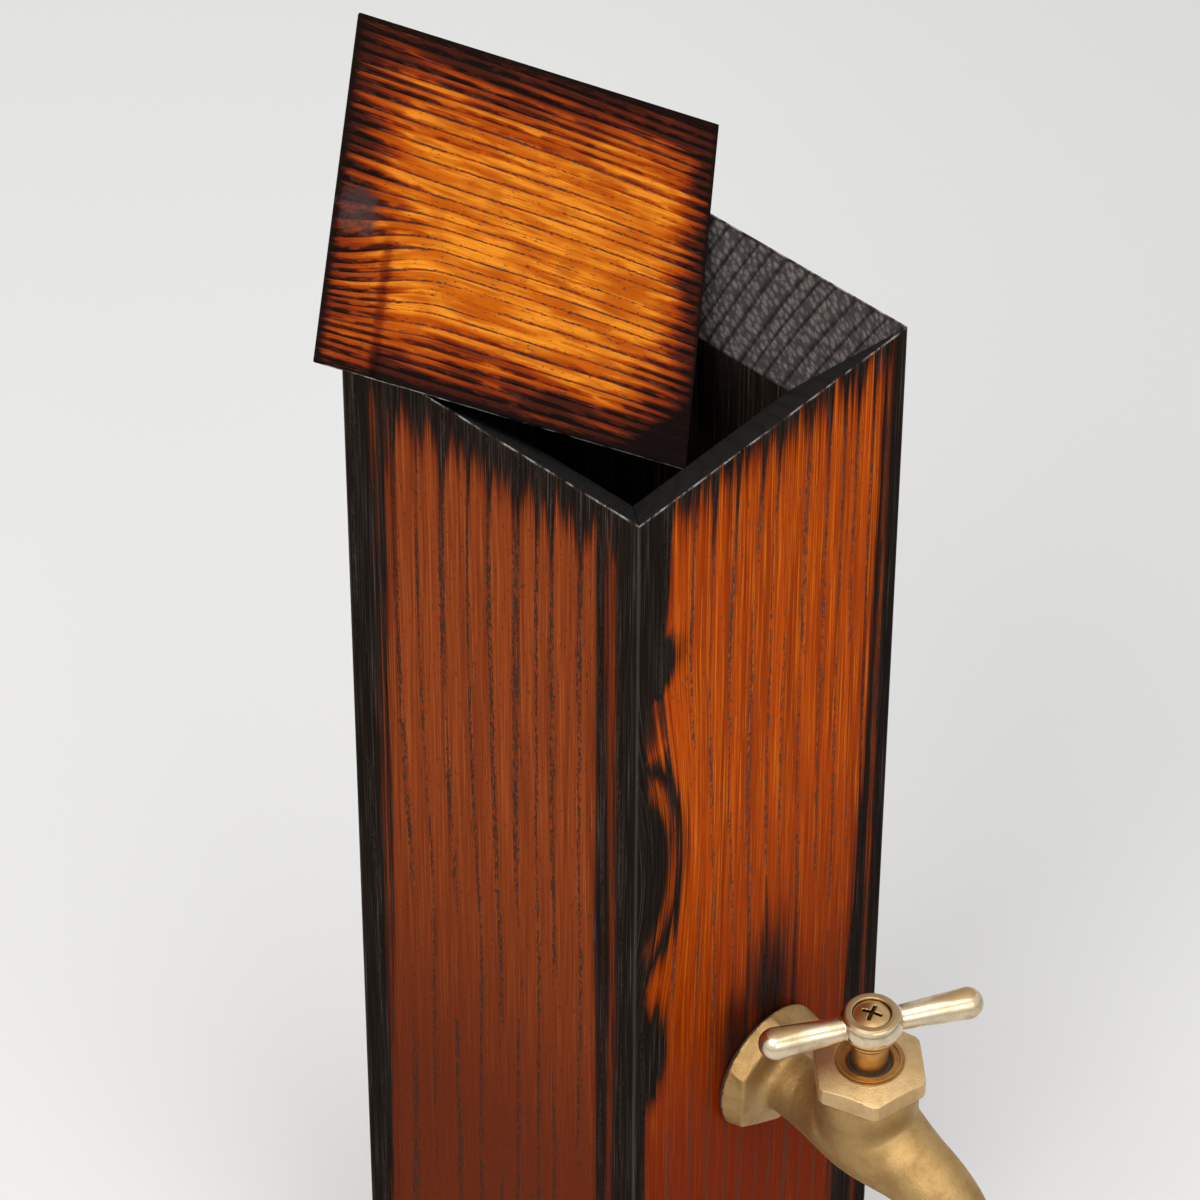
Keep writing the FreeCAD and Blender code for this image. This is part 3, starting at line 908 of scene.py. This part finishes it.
def lidTouches(tree, spot, along, across, up, colour):
    # a smoky patch, a dark stroke across the grain, and painted highlight grey in patches along the lower
    # arris
    cloudy = noise(tree, spot, (0.4,) * 3, 3.0, 0.6)
    fromPatch = plus(tree, ovalReach(tree, along, across, lid["smokePatch"]), times(tree, cloudy, 2.4))
    thin = ramp(tree, noise(tree, spot, (0.9,) * 3), 0.34, 0.60, 0.65, 1.0)
    smoke = times(tree, fade(tree, fromPatch, 1.4, 2.2, 0.9), thin, ramp(tree, up, -0.5, -0.2))
    colour = blendColours(tree, smoke, colour, lid["smoke"])
    stroke = lid["stroke"]
    wobble = times(tree, minus(tree, cloudy, 0.5), 2.6)
    aside = apart(tree, plus(tree, along, wobble), stroke["along"])
    dark = times(tree, fade(tree, aside, *stroke["width"], 0.8), fade(tree, across, *stroke["across"]))
    colour = blendColours(tree, dark, colour, stroke["tint"], "MULTIPLY")
    # painted highlight along the lid's lower arris
    inPatches = ramp(tree, noise(tree, spot, (0.25, 1.0, 1.0)), 0.38, 0.58)
    band = between(tree, up, *lid["lidEdgeHighlight"]["up"])
    lidEdgeHighlight = times(tree, fade(tree, across, *lid["lidEdgeHighlight"]["across"]), band, inPatches)
    return blendColours(tree, lidEdgeHighlight, colour, highlightGrey)


def lidOak():
    material, tree, shader = newMaterial("lidOak")
    spot = spotOnPiece(tree, turn=tuple(lidTurn.to_euler()), origin=tuple(Vector(lid["centre"]) * mm))
    along, across, up = splitAxes(tree, spot)
    reach = lidReach(tree, along, across)
    laid = lidSwirl(tree, spot, along, across)
    ends, sides, through = splitAxes(tree, laid)
    grain = oakGrain(tree, joinAxes(tree, sides, through, ends), lid)
    crisp = minus(tree, noise(tree, laid, (0.30, 3.0, 3.0), 2.0, 0.6), 0.5)
    burn = lidBurn(tree, grain, crisp, reach, laid, along, across)
    wave = noise(tree, laid, (0.050, 0.30, 0.1))
    threads = times(tree, ramp(tree, grain["Fibres"], 0.46, 0.66), 0.65)
    blot = ramp(tree, noise(tree, spot, (0.12, 0.075, 0.1), 1.0), 0.50, 0.66)
    streaks = ramp(tree, noise(tree, laid, (0.060, 0.52, 0.3)), 0.50, 0.66)
    arris = fade(tree, plus(tree, reach, times(tree, crisp, 0.6)), 0.04, 0.26)
    char = largest(tree, ramp(tree, burn, 0.95, 1.35), arris, fade(tree, up, -0.9, -0.25))
    colour = layered(
        tree, lid["bright"],
        (ramp(tree, wave, 0.40, 0.62), lid["gold"]),
        (threads, lid["gold"]),
        (times(tree, blot, 0.35), lid["amber"]),
        (times(tree, streaks, 0.55), lid["amber"]),
        (ramp(tree, burn, 0.02, 0.34), lid["amber"]),
        (ramp(tree, burn, 0.30, 0.62), lid["red"]),
        (ramp(tree, burn, 0.55, 0.88), lid["brown"]),
        (times(tree, grain["Pores"], 0.95), lid["pore"]),
        (char, blendColours(tree, 0.90, charColour(tree, grain), lid["char"])),
    )
    fill(tree, shader, {
        "Base Color": lidTouches(tree, spot, along, across, up, colour),
        "Roughness": ramp(tree, char, 0.0, 1.0, 0.30, 0.60),
        "Coat Weight": ramp(tree, char, 0.0, 1.0, 0.10, 0.01),
        "Coat Roughness": 0.18,
        "Specular IOR Level": 0.01,
        "Normal": bump(tree, minus(tree, times(tree, grain["Fibres"], 0.5), grain["Pores"]), 0.16),
    })
    return material


def runsDown(edge):
    high, low = edge.verts[0].co.z, edge.verts[1].co.z
    return abs(high - low) > 5 * mm


def modelLid():
    piece = addCube((-half, -half, -lid["edge"]), (half, half, 0))
    piece.name = "lid_charred"
    bpy.ops.object.mode_set(mode="EDIT")
    pick("FACE", lambda face: face.normal.z < -0.9)
    drop = (0, 0, -(wall - lid["edge"]) * mm)
    bpy.ops.mesh.extrude_region_move(TRANSFORM_OT_translate={"value": drop})
    share = lidFoot / half
    bpy.ops.transform.resize(value=(share, share, 1), center_override=(0, 0, -wall * mm))
    cutAcross(0, 0.9, *lid["acrossCuts"])
    cutAcross(1, 0.9, *lid["acrossCuts"])
    pick("EDGE", runsDown)
    bpy.ops.mesh.subdivide(number_cuts=lid["throughCuts"], smoothness=0)
    bpy.ops.object.mode_set(mode="OBJECT")
    bevelArris(piece)
    settle(piece, lidPlace)
    dress(piece, lidOak(), "lid", "lid_oak", "lid_board")


# ---- brass and the small pieces

# radii are measured from the stem's axis and heights from the top of the hub
brassLooks = {
    "shadedCastBrass": {
        # painted shade: the same brass as the nut, painted darker for its dark surroundings
        "colour": (0.385, 0.250, 0.102),
        "tarnish": (0.305, 0.185, 0.072),
        "roughness": 0.50,
        "grit": 1.4,
        "relief": 0.11,
    },
    "litNutBrass": {
        # painted light: the same brass as the body, painted lighter for the nut's lit top
        "colour": (0.560, 0.395, 0.200),
        "tarnish": (0.470, 0.315, 0.150),
        "roughness": 0.48,
        "grit": 1.6,
        "relief": 0.09,
        "stain": {"colour": (0.40, 0.21, 0.060), "radius": (7.9, 9.5)},
    },
    "turnedBrass": {
        "colour": (0.56, 0.38, 0.17),
        "tarnish": (0.40, 0.24, 0.09),
        "roughness": 0.28,
        "grit": 0.3,
        "relief": 0.03,
    },
    "screwBrass": {
        "colour": (0.50, 0.34, 0.16),
        "tarnish": (0.36, 0.22, 0.09),
        "roughness": 0.30,
        "grit": 0.3,
        "relief": 0.03,
        # painted shade: dark colour in the screw's sunk recess
        "slot": {"colour": (0.045, 0.022, 0.008), "radius": (2.5, 2.9), "height": (-0.95, -0.55)},
    },
    "amberBrass": {
        "colour": (0.44, 0.235, 0.070),
        "tarnish": (0.30, 0.14, 0.036),
        "roughness": 0.40,
        "grit": 0.5,
        "relief": 0.05,
    },
    "polishedBrass": {
        "colour": (0.64, 0.53, 0.37),
        "tarnish": (0.43, 0.315, 0.19),
        "roughness": 0.25,
        "grit": 0.4,
        "relief": 0.02,
        # painted reflection: the hub's top face is painted darker for the dark surroundings it reflects; its
        # rougher finish is its own
        "face": {"colour": (0.38, 0.265, 0.140), "radius": (7.2, 8.4), "height": (-0.75, -0.35)},
    },
}

plainLooks = {
    "fibreBrown": {
        "colour": (0.055, 0.030, 0.018),
        "second": (0.030, 0.017, 0.010),
        "roughness": 0.75,
        "scale": 1.6,
    },
    "gasketBlack": {
        "colour": (0.018, 0.018, 0.019),
        "second": (0.030, 0.029, 0.028),
        "roughness": 0.60,
        "scale": 0.9,
    },
    "packingDark": {
        "colour": (0.030, 0.026, 0.022),
        "second": (0.014, 0.012, 0.010),
        "roughness": 0.55,
        "scale": 2.4,
    },
    "feltGrey": {
        "colour": (0.040, 0.038, 0.036),
        "second": (0.070, 0.066, 0.062),
        "roughness": 0.95,
        "scale": 1.8,
    },
}

paleOak = {
    "light": (0.42, 0.27, 0.13),
    "deep": (0.30, 0.18, 0.08),
    "glint": (0.50, 0.34, 0.18),
    "strip": (0.14, 0.08, 0.045),
}
levelGrain = {"heart": (-80, 60), "spacing": 3.6, "wander": 9.0}

slotFinish = {
    "plain_oak": "plainOak",
    "inner_char": "innerChar",
    "felt": "feltGrey",
    "cast_brass": "shadedCastBrass",
    "turned_brass": "turnedBrass",
    "polished_brass": "polishedBrass",
    "fibre": "fibreBrown",
    "gasket": "gasketBlack",
    "packing": "packingDark",
}


def brass(name, look):
    material, tree, shader = newMaterial(name)
    spot = spotOnPiece(tree, origin=(stem.x * mm, stem.y * mm, hubTop * mm))
    skin = useGroup(tree, "castSkin", Place=spot, Grit=look["grit"])
    tarnish = skin["Tarnish"]
    colour = blendColours(tree, ramp(tree, tarnish, 0.40, 0.72), look["colour"], look["tarnish"])
    rough = ramp(tree, tarnish, 0.3, 0.8, look["roughness"], look["roughness"] + 0.14)
    across, deep, height = splitAxes(tree, spot)
    radius = maths(tree, "SQRT", sumOfSquares(tree, across, deep))
    if "stain" in look:
        stain = look["stain"]
        stained = fade(tree, plus(tree, radius, times(tree, tarnish, 1.6)), *stain["radius"], 0.85)
        colour = blendColours(tree, stained, colour, stain["colour"])
    # painted shade darkens the screw's recess
    if "slot" in look:
        slot = look["slot"]
        sunk = times(tree, fade(tree, height, *slot["height"]), fade(tree, radius, *slot["radius"]))
        colour = blendColours(tree, sunk, colour, slot["colour"])
    # painted reflection darkens the hub's top face, which is also rougher
    if "face" in look:
        face = look["face"]
        flat = ramp(tree, height, *face["height"])
        colour = blendColours(tree, flat, colour, face["colour"])
        hub = ramp(tree, radius, *face["radius"], -0.13, 0.0)
        rough = plus(tree, rough, hub, times(tree, flat, 0.30))
    fill(tree, shader, {
        "Base Color": colour,
        "Roughness": rough,
        "Metallic": 1.0,
        "Normal": bump(tree, skin["Height"], look["relief"]),
    })
    return material


def plain(name, look):
    material, tree, shader = newMaterial(name)
    mottle = noise(tree, spotOnPiece(tree), (look["scale"],) * 3, 4.0, 0.65)
    fill(tree, shader, {
        "Base Color": blendColours(tree, ramp(tree, mottle, 0.35, 0.65), look["colour"], look["second"]),
        "Roughness": look["roughness"],
        "Normal": bump(tree, mottle, 0.12),
    })
    return material


def flatOak(name, look, charred):
    material, tree, shader = newMaterial(name)
    grain = oakGrain(tree, spotOnPiece(tree, turn=(0, math.radians(90), 0)), levelGrain)
    fill(tree, shader, {
        "Base Color": oakColours(tree, look, grain, charred, charred),
        "Roughness": 0.6,
        "Specular IOR Level": 0.22,
        "Normal": bump(tree, minus(tree, grain["Fibres"], grain["Pores"]), 0.12),
    })
    return material


def makeFinishes():
    finishes = {name: brass(name, look) for name, look in brassLooks.items()}
    for name, look in plainLooks.items():
        finishes[name] = plain(name, look)
    finishes["innerChar"] = flatOak("innerChar", boards["left_board"], 1.0)
    finishes["plainOak"] = flatOak("plainOak", paleOak, 0.0)
    return finishes


def finishNodes(finishes):
    for row in frame["record"]["subparts"]:
        node = row["node"]
        finish = slotFinish.get(row["material_slot"], "innerChar")
        if node == "packing_gland":
            finish = "amberBrass"
        nodes[node].data.materials.clear()
        nodes[node].data.materials.append(finishes[finish])


castings = {
    "tap_body": {"voxel": 0.43, "sand": 0.8, "depth": 0.08, "finish": "shadedCastBrass"},
    "bonnet_nut": {"voxel": 0.20, "sand": 0.7, "depth": 0.04, "finish": "litNutBrass"},
    "t_handle": {"voxel": 0.18, "sand": 1.6, "depth": 0.02, "finish": "polishedBrass"},
    "handle_screw": {"voxel": 0.11, "sand": 1.2, "depth": 0.01, "finish": "screwBrass"},
}

# offsets are measured from the wall's face and heights from the shank's centre
flange = {
    "flats": 27.8,
    "foot": 17.0,              # round against the washer
    "back": 1.2,
    "front": 6.2,
    "rise": 1.1,
    "hub": 10.5,               # the body's own metal stays inside this radius
    "overlap": 1.0,            # and the new flange runs this far into it
    "slack": 0.1,
    "sideCuts": 11,
}

bonnet = {
    "flats": 25.5,
    "corner": 14.3,            # the corners are turned down to this radius
    "turn": -13,
    "low": 20.1,
    "seat": 21.8,              # the collar ends below this
    "high": 26.5,
    "crown": 42.5,             # the top is turned to a ball of this radius
    "crownHigh": 27.12,
    "lip": 7.3,
    "lipThick": 0.28,
    "bore": 8.52,
    "skirt": 11.35,
    "joint": 24.5,
    "clear": 29.5,             # above all of the sleeve
}

collar = {
    "radius": 12.0,
    "inside": 9.9,
    "reach": 7.0,
    "low": -3.0,
    "lowFade": 4,
    "high": 19.5,
    "highFade": 3,
    "swell": 1.5,
}
neck = {"radius": 7.8, "offset": 6.2, "reach": 4.5}
fillet = {"first": 300, "second": 36}      # rounds of smoothing, before and after the swell

spare = 1                      # cutters run past what they cut by this much
wider = 5                      # and stand out this far round it


def addUprightRod(radius, low, high, sides=128, turn=0.0):
    middle = (stem.x, stem.y, shank.z + (low + high) / 2)
    return addRod(radius, high - low, middle, (0, 0, math.radians(turn)), sides)


def addLevelRod(radius, near, far):
    middle = (shank.x, -(half + (near + far) / 2), shank.z + flange["rise"])
    return addRod(radius, far - near, middle, (math.pi / 2, 0, 0))


def addFlangeLoop(sides, radius, offset):
    bpy.ops.mesh.primitive_circle_add(
        vertices=sides, radius=radius * mm, rotation=(math.pi / 2, 0, 0),
        location=(shank.x * mm, -(half + offset) * mm, (shank.z + flange["rise"]) * mm))


def shapeFlange():
    # a hexagon in front that runs out into the round foot
    deselectAll()
    addFlangeLoop(6, flange["flats"] / math.sqrt(3), flange["front"])
    piece = bpy.context.object
    bpy.ops.object.transform_apply(location=True, rotation=True, scale=True)
    bpy.ops.object.mode_set(mode="EDIT")
    bpy.ops.mesh.select_all(action="SELECT")
    bpy.ops.mesh.subdivide(number_cuts=flange["sideCuts"])
    addFlangeLoop(6 * (flange["sideCuts"] + 1), flange["foot"], flange["back"])
    bpy.ops.mesh.select_all(action="SELECT")
    bpy.ops.mesh.bridge_edge_loops()
    bpy.ops.mesh.select_all(action="SELECT")
    bpy.ops.mesh.fill_holes(sides=0)
    bpy.ops.mesh.select_all(action="SELECT")
    bpy.ops.mesh.normals_make_consistent(inside=False)
    bpy.ops.object.mode_set(mode="OBJECT")
    bore = flange["hub"] - flange["overlap"]
    cutAway(piece, addLevelRod(bore, flange["back"] - spare, flange["front"] + spare))
    return piece


def shapeTapBody():
    piece = copyOfNode("tap_body", "tap_body_cast")
    back, front = flange["back"], flange["front"]
    ring = addLevelRod(flange["foot"] + wider, back - flange["slack"], front + flange["slack"])
    cutAway(ring, addLevelRod(flange["hub"], back - spare, front + spare))
    cutAway(piece, ring)
    joinOn(piece, shapeFlange())
    return piece


def shapeBonnet():
    size = bonnet
    piece = addUprightRod(size["flats"] / math.sqrt(3), size["low"], size["high"], 6, size["turn"] + 30)
    keepInside(piece, addUprightRod(size["corner"], size["low"] - spare, size["high"] + spare))
    deselectAll()
    bpy.ops.mesh.primitive_uv_sphere_add(
        segments=128, ring_count=180, radius=size["crown"] * mm,
        location=(stem.x * mm, stem.y * mm, (shank.z + size["crownHigh"] - size["crown"]) * mm))
    keepInside(piece, bpy.context.object)
    cutAway(piece, addUprightRod(size["skirt"], size["low"] - spare, size["seat"]))
    cutAway(piece, addUprightRod(size["bore"], size["low"], size["high"] - size["lipThick"]))
    cutAway(piece, addUprightRod(size["lip"], size["seat"], size["high"] + spare))
    sleeve = copyOfNode("bonnet_nut", "sleeve")
    cutAway(sleeve, addUprightRod(size["corner"] + wider, size["joint"], size["clear"]))
    joinOn(piece, sleeve)
    piece.name = "bonnet_nut_cast"
    return piece


def atCollarFoot(spot):
    radius = math.hypot(spot.x - stem.x, spot.y - stem.y)
    height = spot.z - shank.z
    if radius < collar["inside"]:
        return 0
    near = 1 - abs(radius - collar["radius"]) / collar["reach"]
    belowTop = (collar["high"] - height) / collar["highFade"]
    aboveFoot = (height - collar["low"]) / collar["lowFade"]
    return max(0, near) * max(0, min(1, belowTop, aboveFoot))


def atNeck(spot):
    radius = math.hypot(spot.x - shank.x, spot.z - shank.z)
    aside = math.hypot(radius - neck["radius"], -spot.y - half - neck["offset"])
    return max(0, 1 - aside / neck["reach"])


def softenTapBody(piece):
    # cast fillets where the collar and the flange leave the body
    weigh(piece, "fillet", lambda spot: max(min(1, 2 * atCollarFoot(spot)), atNeck(spot)))
    weigh(piece, "swell", atCollarFoot)
    addModifier(piece, "SMOOTH", factor=0.5, iterations=fillet["first"], vertex_group="fillet")
    applyModifiers(piece)
    addModifier(piece, "DISPLACE", strength=collar["swell"] * mm, mid_level=0, vertex_group="swell")
    addModifier(piece, "SMOOTH", factor=0.5, iterations=fillet["second"], vertex_group="fillet")
    applyModifiers(piece)


def modelCastings(finishes):
    slots = {row["node"]: row["material_slot"] for row in frame["record"]["subparts"]}
    shapers = {"tap_body": shapeTapBody, "bonnet_nut": shapeBonnet}
    for node, look in castings.items():
        body = nodes[node]["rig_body"]
        piece = shapers[node]() if node in shapers else copyOfNode(node, node + "_cast")
        addModifier(piece, "REMESH", mode="VOXEL", voxel_size=look["voxel"] * mm)
        addModifier(piece, "SMOOTH", factor=0.5, iterations=1)
        applyModifiers(piece)
        if node == "tap_body":
            softenTapBody(piece)
        roughen(piece, node + "Sand", (look["sand"],) * 3, look["depth"], level=1.0)
        bpy.ops.object.shade_smooth_by_angle(angle=math.radians(60))
        dress(piece, finishes[look["finish"]], body, slots[node], node)
        print(node, len(piece.data.polygons), "faces")


# ---- floor

def addFloor():
    deselectAll()
    bpy.ops.mesh.primitive_plane_add(size=12, location=(0, 0, 0))
    floor = bpy.context.object
    floor.name = "floor"
    material, tree, shader = newMaterial("paleFloor")
    fill(tree, shader, {"Base Color": (0.80, 0.80, 0.79), "Roughness": 0.8})
    floor.data.materials.append(material)


# ---- making

bpy.context.scene.view_settings.view_transform = "Standard"
addCamera()
addLamps()
addWorld()
addFloor()
print("studio done")

makeOakGrain()
makeScorchEdge()
makeCastSkin()
finishes = makeFinishes()
finishNodes(finishes)
print("finishes done:", len(finishes))

modelBoards()
print("boards done")
modelLid()
print("lid done")
modelCastings(finishes)
print("castings done")

deselectAll()
